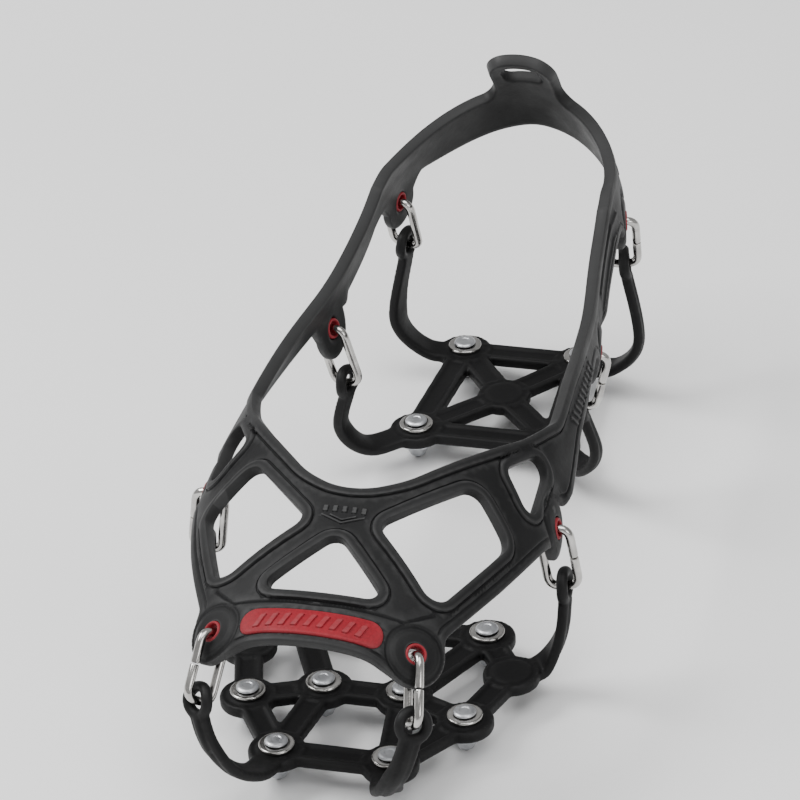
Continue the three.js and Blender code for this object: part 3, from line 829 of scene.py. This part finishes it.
def harness_mesh():
    """The moulded sheet: rimmed openings, bosses, ridges, marks and the recess of the badge."""
    outline = rounded_outline(mirrored_corners(OUTER_EDGE))
    rimmed = [
        rounded_outline(mirrored_corners(corners))
        for corners in (ANKLE_EDGE, CENTRE_OPENING, PULL_TAB_SLOT)
    ]
    for corners in (SIDE_OPENING, RAIL_OPENING):
        loop = rounded_outline(corners)
        rimmed += [loop, mirrored(loop)]
    eyelets = []
    for name in STATIONS:
        loop = ring_round(name, EYELET_BORE)
        eyelets += [loop, mirrored(loop)]
    badge = rounded_outline(mirrored_corners(BADGE_OUTLINE))
    ridges = [side * line for line in HALF_RIDGES for side in ([1, 1], [-1, 1])]
    marks = FRONT_MARK + RAIL_MARK + [mirrored(outline) for outline in RAIL_MARK]

    fixed = round_about([badge], RECESS_EDGE, RECESS_SPACING)
    fixed += round_about(marks, MARK_EDGE, MARK_SPACING)
    details = round_about([badge], ROUND_RECESS, RECESS_SPACING)
    details += round_about(marks, ROUND_MARK, MARK_SPACING)
    for line in ridges + [CREASE]:
        fine = resampled(line, LINE_SPACING, closed=False)
        details += [beside(fine, offset, closed=False) for offset in LINE_ROWS]
    moat = MOAT_RADIUS + MOAT_WIDTH * MOAT_ROWS
    for name in STATIONS:
        for radius in (BOSS_FLAT, *np.linspace(*BOSS_RADII, 5), *moat):
            ring = ring_round(name, radius)
            details += [ring, mirrored(ring)]
    levels = sorted({*RIM_PROFILE[0][1:]} | BETWEEN_LEVELS)
    points, faces = flat_mesh(outline, rimmed + eyelets, levels, details, HARNESS_GRID, fixed)

    rim = distance_to(points, rimmed)
    edge = distance_to(points, [outline])
    eyelet = distance_to(points, eyelets)
    from_eyelet = np.min([np.hypot(*seen_from(s, *points.T)) for s in STATIONS.values()], 0)
    groove = np.interp(edge, *OUTER_PROFILE)
    rounding = np.where(
        edge < OUTER_ROUNDING, groove, groove * smoothstep(from_eyelet, *PLAIN_EDGE),
    )
    top = FACE + np.interp(rim, *RIM_PROFILE) + rounding
    top += BOSS_HEIGHT * (1 - smoothstep(from_eyelet, *BOSS_RADII))
    top -= MOAT_DEPTH * np.exp(-(((from_eyelet - MOAT_RADIUS) / MOAT_WIDTH) ** 2))
    on_ridge = 1 - smoothstep(distance_to(points, ridges, False), *RIDGE_SLOPE)
    top += RELIEF_HEIGHT * on_ridge * smoothstep(np.minimum(rim, edge), *RIDGE_FADE)
    top += RELIEF_HEIGHT * raised(points, marks)
    in_crease = 1 - smoothstep(distance_to(points, [CREASE], False), *CREASE_SLOPE)
    top -= CREASE_DEPTH * in_crease * smoothstep(rim, *CREASE_FADE)
    top = np.where(inside(points, badge), np.minimum(top, BADGE_FLOOR), top)
    nearest = np.minimum(np.minimum(rim, edge), eyelet)
    bottom = np.interp(nearest, *INNER_PROFILE)
    return mesh_of("harness_skin", *slab(points, faces, top, bottom, worn))


def badge_mesh():
    """The crowned red inlay with its row of slanted bars."""
    outline = rounded_outline(mirrored_corners(BADGE_OUTLINE))
    fixed = round_about(BADGE_MARK, MARK_EDGE, BADGE_MARK_SPACING)
    levels = BADGE_PROFILE[0][1:-1]
    points, faces = flat_mesh(outline, [], levels, [], HARNESS_GRID, fixed, spacing=1.0)
    edge = distance_to(points, [outline])
    top = BADGE_EDGE_HEIGHT + np.interp(edge, *BADGE_PROFILE)
    top += RELIEF_HEIGHT * raised(points, BADGE_MARK)
    bottom = np.full(len(points), BADGE_BOTTOM)
    return mesh_of("badge_skin", *slab(points, faces, top, bottom, worn))


piece("harness_skin", harness_mesh(), HARNESS_RUBBER, "harness_rubber", "harness", "harness")
piece("badge_skin", badge_mesh(), RED_RUBBER, "red_rubber", "harness", "badge")


# ---------------------------------------------------------------- grommets and links


def placed(verts, origin, x_axis, z_axis):
    """Points of a piece drawn about its own origin, moved to their place."""
    y_axis = np.cross(z_axis, x_axis)
    return origin + np.asarray(verts) @ np.array([x_axis, y_axis, z_axis])


def grommet_mesh(name, side):
    """The red ring that lines an eyelet."""
    inner, outer = GROMMET_RADII
    low, high = GROMMET_ENDS
    profile = softened([(inner, low), (inner, high), (outer, high), (outer, low)], 0.4, closed=True)
    verts, faces = turned(profile, 36, closed=True)
    p, q = np.array([STATIONS[name]["eyelet"][0] * side]), np.array([STATIONS[name]["eyelet"][1]])
    axis = normal_of(harness_point, p, q)[0]
    aside = unit(np.cross(axis, hanging_of(name, side)[2]))
    return mesh_of(f"grommet_{name}", placed(verts, harness_point(p, q)[0], aside, axis), faces)


def bezier(start, handle, end, count=7):
    """Points of a quadratic curve."""
    t = np.linspace(0, 1, count)[:, None]
    start, handle, end = np.array(start), np.array(handle), np.array(end)
    return (1 - t) ** 2 * start + 2 * t * (1 - t) * handle + t * t * end


def link_path():
    """The middle of the wire, in its own plane: across and up."""
    w, c = LINK_HALF_WIDTH, LINK_CORNER
    middle, bottom = -LINK_LENGTH / 2, -LINK_LENGTH
    gap = LINK_SEAM / 2
    bend = np.concatenate([
        bezier((w, -c), (w, 0), (w - c, 0)), bezier((c - w, 0), (-w, 0), (-w, -c)),
        bezier((-w, bottom + c), (-w, bottom), (c - w, bottom)),
        bezier((w - c, bottom), (w, bottom), (w, bottom + c)),
    ])
    ends = [(w, middle + gap + along) for along, _ in SEAM_CHAMFER]
    starts = [(w, middle - gap - along) for along, _ in reversed(SEAM_CHAMFER)]
    return np.concatenate([ends, bend, starts])


def link_mesh(name, side):
    """An oblong of bent wire whose two ends meet in a seam."""
    path = link_path()
    along = unit(np.gradient(path, axis=0))
    radius = np.full(len(path), LINK_WIRE)
    for k, (_, share) in enumerate(SEAM_CHAMFER):
        radius[[k, -1 - k]] *= share
    angles = np.arange(20) * 2 * math.pi / 20
    outward = np.stack([along[:, 1], np.zeros(len(path)), -along[:, 0]], -1)
    centre = np.stack([path[:, 0], np.zeros(len(path)), path[:, 1]], -1)
    sideways = np.array([0, 1.0, 0])
    rings = centre[:, None] + radius[:, None, None] * (
        np.cos(angles)[:, None] * outward[:, None] + np.sin(angles)[:, None] * sideways
    )
    verts, faces = skin(rings)
    top, _, down, through = hanging_of(name, side)
    return mesh_of(f"link_{name}", placed(verts, top, through, -down), faces)


for station_name in STATIONS:
    for side_name, side in SIDES.items():
        full = f"{station_name}_{side_name}"
        piece(
            f"grommet_skin_{full}", grommet_mesh(station_name, side), RED_RUBBER, "red_rubber",
            "harness", f"grommet_{full}",
        )
        piece(
            f"link_wire_{full}", link_mesh(station_name, side), LINK_STEEL, "link_steel",
            f"link_{full}", f"link_{full}",
        )


# ---------------------------------------------------------------- matrices

# Pads carry spikes and joints only join webs. Arms list their pad and the places (x, y, height)
# that they pass on the way to their links.
FOREFOOT = {
    "joints": {"side": (38, -60)},
    "webs": (
        ("front", "mirror"), ("front", "outer"), ("front", "inner"), ("outer", "inner"),
        ("inner", "mirror"), ("outer", "side"), ("side", "rear"), ("inner", "rear"),
        ("rear", "mirror"),
    ),
    "arms": {
        "toe": ("front", ((18.5, -120, 11), (22.5, -129, 19), (27, -131, 28))),
        "ball": ("side", ((45, -54, 8.9), (50, -51.5, 18))),
    },
    "pads": ("front", "outer", "inner", "rear"),
}
HEEL = {
    "joints": {"hub": (0, 81)},
    "webs": (
        ("front", "mirror"), ("front", "rear"), ("front", "hub"), ("rear", "hub"),
        ("rear", "mirror"),
    ),
    "arms": {
        "heel_front": ("front", ((33, 46, 10), (38.5, 40, 20))),
        "heel_rear": ("rear", ((29, 102, 10), (37, 100, 20))),
    },
    "pads": ("front", "rear"),
}


def catmull_rom(stops, steps=24):
    """A centripetal Catmull-Rom curve through the stops, as even points with their distance."""
    stops = np.array(stops, float)
    padded = np.concatenate([[2 * stops[0] - stops[1]], stops, [2 * stops[-1] - stops[-2]]])
    gaps = np.sqrt(lengths(np.diff(padded, axis=0))[:, 0])
    t = np.linspace(0, 1, steps, endpoint=False)[:, None]
    points = []
    for i in range(len(stops) - 1):
        before, here, there, after = padded[i:i + 4]
        d0, d1, d2 = gaps[i:i + 3]
        leave = (here - before) / d0 - (there - before) / (d0 + d1) + (there - here) / d1
        arrive = (there - here) / d1 - (after - here) / (d1 + d2) + (after - there) / d2
        leave, arrive = leave * d1, arrive * d1
        points.append(
            here + leave * t + (3 * (there - here) - 2 * leave - arrive) * t**2
            + (2 * (here - there) + leave + arrive) * t**3
        )
    points = np.concatenate([*points, stops[-1:]])
    travelled = np.concatenate([[0], np.cumsum(lengths(np.diff(points, axis=0))[:, 0])])
    return points, travelled


def arm_parts(root, via, name, side):
    """The strap of an arm and its eye, as closed shells."""
    _, bottom, down, through = hanging_of(name, side)
    stops = [np.array([x * side, y, z]) for x, y, z in via]
    centre = np.array([root[0] * side, root[1], MATRIX_MIDDLE])
    away = (stops[0] - centre) * [1, 1, 0]
    start = centre + unit(away) * PAD_RADIUS / 2
    points, travelled = catmull_rom([start, *stops, bottom, bottom - down * ARM_EYE_RADIUS])
    tangents = unit(np.gradient(points, axis=0))
    length = travelled[-1]
    reach = length - ARM_EYE_RADIUS

    def place(x, y, z):
        at = np.clip(x, 0, length)
        turn = smoothstep(at / length, *ARM_TURNS)[:, None]
        here = np.stack([np.interp(at, travelled, points[:, k]) for k in range(3)], -1)
        along = unit(np.stack([np.interp(at, travelled, tangents[:, k]) for k in range(3)], -1))
        normal = np.array([0, 0, -1.0]) * (1 - turn) + through * turn
        normal = unit(normal - (normal * along).sum(-1, keepdims=True) * along)
        return here + np.cross(normal, along) * y[:, None] + normal * z[:, None]

    # Across the strap as shares of its width, and through it: a low ridge runs down its middle.
    half = ARM_THICKNESS / 2
    section = np.array([
        (-0.5, -half + 0.5), (-0.4, -half), (0.4, -half), (0.5, -half + 0.5),
        (0.5, half - 0.5), (0.4, half), (0.22, half - 0.1), (0.12, half + 0.55),
        (-0.12, half + 0.55), (-0.22, half - 0.1), (-0.4, half), (-0.5, half - 0.5),
    ])
    rings = []
    in_the_eye_rim = reach - (ARM_EYE_BORE + ARM_EYE_RADIUS) / 2
    for x in np.linspace(0, in_the_eye_rim, 28):
        narrowing = smoothstep(x / reach, *ARM_NARROWS)
        width = ARM_ROOT_WIDTH + narrowing * (ARM_NECK_WIDTH - ARM_ROOT_WIDTH)
        rings.append(place(np.full(len(section), x), section[:, 0] * width, section[:, 1]))
    lip = half + ARM_EYE_LIP
    profile = softened([
        (ARM_EYE_BORE, -half), (ARM_EYE_BORE, lip), (ARM_EYE_RADIUS, lip), (ARM_EYE_RADIUS, -half),
    ], 0.9, closed=True)
    eye, eye_faces = turned(profile, 36, closed=True)
    return [skin(rings), (place(reach + eye[:, 0], eye[:, 1], eye[:, 2]), eye_faces)]


def pad_part(place, is_joint):
    """A disc with a raised ring where the washer and the spike's flange press on it."""
    hole = 0.01 if is_joint else SHANK_HOLE
    profile = softened([
        (hole, MATRIX_BOTTOM - 0.2), (hole, MATRIX_TOP + 0.25), (5.6, MATRIX_TOP + 0.25),
        (5.9, MATRIX_TOP - 0.3), (6.6, MATRIX_TOP - 0.3), (6.9, MATRIX_TOP),
        (PAD_RADIUS, MATRIX_TOP), (PAD_RADIUS, MATRIX_BOTTOM), (6.4, MATRIX_BOTTOM),
        (6.2, MATRIX_BOTTOM - 0.2),
    ], 0.3, closed=True)
    verts, faces = turned(profile, 36, closed=True)
    return verts + [*place, 0], faces


def web_part(start, end, inset):
    """A bar between two pads, with a lip along each side above and a groove below."""
    start, end = np.array(start, float), np.array(end, float)
    along = unit(end - start)
    start, end = start + along * inset, end - along * inset
    across = np.array([-along[1], along[0]])
    half = WEB_WIDTH / 2
    section = [
        (-half, MATRIX_BOTTOM + 0.5), (-half + 0.5, MATRIX_BOTTOM), (-1.1, MATRIX_BOTTOM),
        (-0.6, MATRIX_BOTTOM + 0.7), (0.6, MATRIX_BOTTOM + 0.7), (1.1, MATRIX_BOTTOM),
        (half - 0.5, MATRIX_BOTTOM), (half, MATRIX_BOTTOM + 0.5), (half, MATRIX_TOP - 0.4),
        (half - 0.4, MATRIX_TOP), (half - 1.5, MATRIX_TOP), (half - 2, MATRIX_TOP - 0.6),
        (2 - half, MATRIX_TOP - 0.6), (1.5 - half, MATRIX_TOP), (0.4 - half, MATRIX_TOP),
        (-half, MATRIX_TOP - 0.4),
    ]
    rings = []
    for t in np.linspace(0, 1, 8):
        centre = start + (end - start) * t
        rings.append([(*(centre + across * x), z) for x, z in section])
    return skin(rings)


def matrix_mesh(area, plan):
    """Pads, webs and arms of both halves, fused into one moulding."""
    pads = {name: pad_place(area, name) for name in plan["pads"]}
    places = {**pads, **plan["joints"]}
    parts = []
    for side in SIDES.values():
        here = {name: (x * side, y) for name, (x, y) in places.items()}
        for name, place in here.items():
            parts.append(pad_part(place, name in plan["joints"]))
        for from_name, to_name in plan["webs"]:
            start = here[from_name]
            end = (-start[0], start[1]) if to_name == "mirror" else here[to_name]
            parts.append(web_part(start, end, WEB_INSET))
        for name, (root, via) in plan["arms"].items():
            parts += arm_parts(places[root], via, name, side)
    mesh = mesh_of(f"{area}_shells", *joined(parts))
    return fused(f"{area}_matrix_skin", mesh, MATRIX_VOXEL, MATRIX_SMOOTHING)


# ---------------------------------------------------------------- spikes


def spike_body_mesh(low, high, centre):
    """A turned stud: socket, cone, flange, shank and riveted head."""
    bottom, top = low[2], high[2]
    flange_top = MATRIX_BOTTOM - 0.3
    head_bottom = top - 1.05
    profile = softened([
        (SOCKET_RADIUS, 4), (SOCKET_RADIUS, bottom), (2.3, bottom), (2.55, 2.2), (2.8, 2.3),
        (3.45, 4.7), (3.7, 4.9), (FLANGE_RADIUS - 0.4, 5.4), (FLANGE_RADIUS, 5.6),
        (FLANGE_RADIUS, flange_top), (SHANK_RADIUS, flange_top), (SHANK_RADIUS, head_bottom),
        (3.2, head_bottom), (HEAD_RADIUS, top - 0.6), (2.6, top - 0.15), (1.5, top),
        (1.2, top - 0.25),
    ], 0.16)
    verts, faces = turned(profile, 48)
    return verts + centre, faces


def spike_tip_mesh(low, high, centre):
    """A hard pin with a chamfered nose, flat on the ground."""
    profile = softened([(0.02, 0), (0.8, 0), (TIP_RADIUS, 0.6), (TIP_RADIUS, high[2])], 0.12)
    verts, faces = turned(profile, 32)
    return verts + centre, faces


def washer_mesh(low, high, centre):
    """A washer with its upper edge rolled over."""
    bottom, top = low[2], high[2]
    profile = softened([
        (SHANK_HOLE, bottom), (SHANK_HOLE, top), (WASHER_RADIUS - 0.4, top),
        (WASHER_RADIUS, top - 0.25), (WASHER_RADIUS, bottom),
    ], 0.15, closed=True)
    verts, faces = turned(profile, 48, closed=True)
    return verts + centre, faces


SPIKE_PIECES = {
    "body": (spike_body_mesh, SPIKE_ALUMINIUM, "spike_aluminium"),
    "tip": (spike_tip_mesh, TIP_CARBIDE, "tip_carbide"),
    "washer": (washer_mesh, LINK_STEEL, "link_steel"),
}

for area, plan in {"forefoot": FOREFOOT, "heel": HEEL}.items():
    piece(
        f"{area}_matrix_skin", matrix_mesh(area, plan), MATRIX_RUBBER, "matrix_rubber",
        area, f"{area}_matrix", sharp=60,
    )
    for pad in plan["pads"]:
        for side_name in SIDES:
            for kind, (make, material, slot) in SPIKE_PIECES.items():
                node = f"spike_{kind}_{area}_{pad}_{side_name}"
                low, high = cad_box(node)
                centre = ((low + high) / 2 - SHIFT) * [1, 1, 0]
                mesh = mesh_of(node, *make(low, high, centre))
                piece(f"{node}_turned", mesh, material, slot, area, node, sharp=30)


# ---------------------------------------------------------------- stage, lights and camera


FLOOR_HALF_WIDTH = 6.0


def floor():
    """A plain pale floor."""
    mesh = bpy.data.meshes.new("floor")
    reach = FLOOR_HALF_WIDTH
    corners = [(-reach, -reach, 0), (reach, -reach, 0), (reach, reach, 0), (-reach, reach, 0)]
    mesh.from_pydata(corners, [], [(0, 1, 2, 3)])
    obj = bpy.data.objects.new("floor", mesh)
    bpy.context.scene.collection.objects.link(obj)
    material, nodes, links, shader = new_material("floor_pale")
    tint = ramp(nodes, links, noise(nodes, links, 6, 3), [(0.3, grey(0.9)), (0.7, grey(0.93))])
    links.new(tint, shader.inputs["Base Color"])
    shader.inputs["Roughness"].default_value = 0.75
    mesh.materials.append(material)


def area_light(name, place, size, power):
    """A soft light that looks at the middle of the cleat."""
    data = bpy.data.lights.new(name, "AREA")
    data.shape = "RECTANGLE"
    data.size, data.size_y = size
    data.energy = power
    obj = bpy.data.objects.new(name, data)
    obj.location = place
    obj.rotation_euler = (Vector(LIGHTS_AIM) - Vector(place)).to_track_quat("-Z", "Y").to_euler()
    bpy.context.scene.collection.objects.link(obj)


def world(strength):
    """An even white surround."""
    scene_world = bpy.data.worlds.new("studio")
    scene_world.use_nodes = True
    background = scene_world.node_tree.nodes["Background"]
    background.inputs["Color"].default_value = (1, 1, 1, 1)
    background.inputs["Strength"].default_value = strength
    bpy.context.scene.world = scene_world


LIGHTS_AIM = (0, 0, 0.04)
CAMERA_AZIMUTH = 0.29833       # radians
CAMERA_ELEVATION = 0.55642
CAMERA_ROLL = -0.06144
CAMERA_DISTANCE = 1.5
CAMERA_LENS = 238.07
CAMERA_TARGET = (-0.0078, 0.0, 0.05686)


def camera():
    """A long lens, in front of the toe and above it."""
    azimuth, elevation, roll = CAMERA_AZIMUTH, CAMERA_ELEVATION, CAMERA_ROLL
    back = Vector((
        math.sin(azimuth) * math.cos(elevation),
        -math.cos(azimuth) * math.cos(elevation),
        math.sin(elevation),
    ))
    right = Vector((math.cos(azimuth), math.sin(azimuth), 0))
    up = back.cross(right)
    x_axis = math.cos(roll) * right + math.sin(roll) * up
    y_axis = math.cos(roll) * up - math.sin(roll) * right
    data = bpy.data.cameras.new("camera")
    data.lens = CAMERA_LENS
    data.sensor_width = 36
    data.clip_end = 50
    obj = bpy.data.objects.new("camera", data)
    turn = Matrix((x_axis, y_axis, back)).transposed().to_4x4()
    place = Vector(CAMERA_TARGET) + Vector(SHIFT * MM) + back * CAMERA_DISTANCE
    obj.matrix_world = Matrix.Translation(place) @ turn
    bpy.context.scene.collection.objects.link(obj)
    bpy.context.scene.camera = obj


floor()
world(0.5)
area_light("key", (-0.9, -0.1, 1.1), (0.8, 0.6), 18)
area_light("top", (0.2, -0.3, 1.4), (1.2, 1.0), 14)
area_light("fill", (1.0, -0.9, 0.6), (0.6, 0.6), 4)
camera()
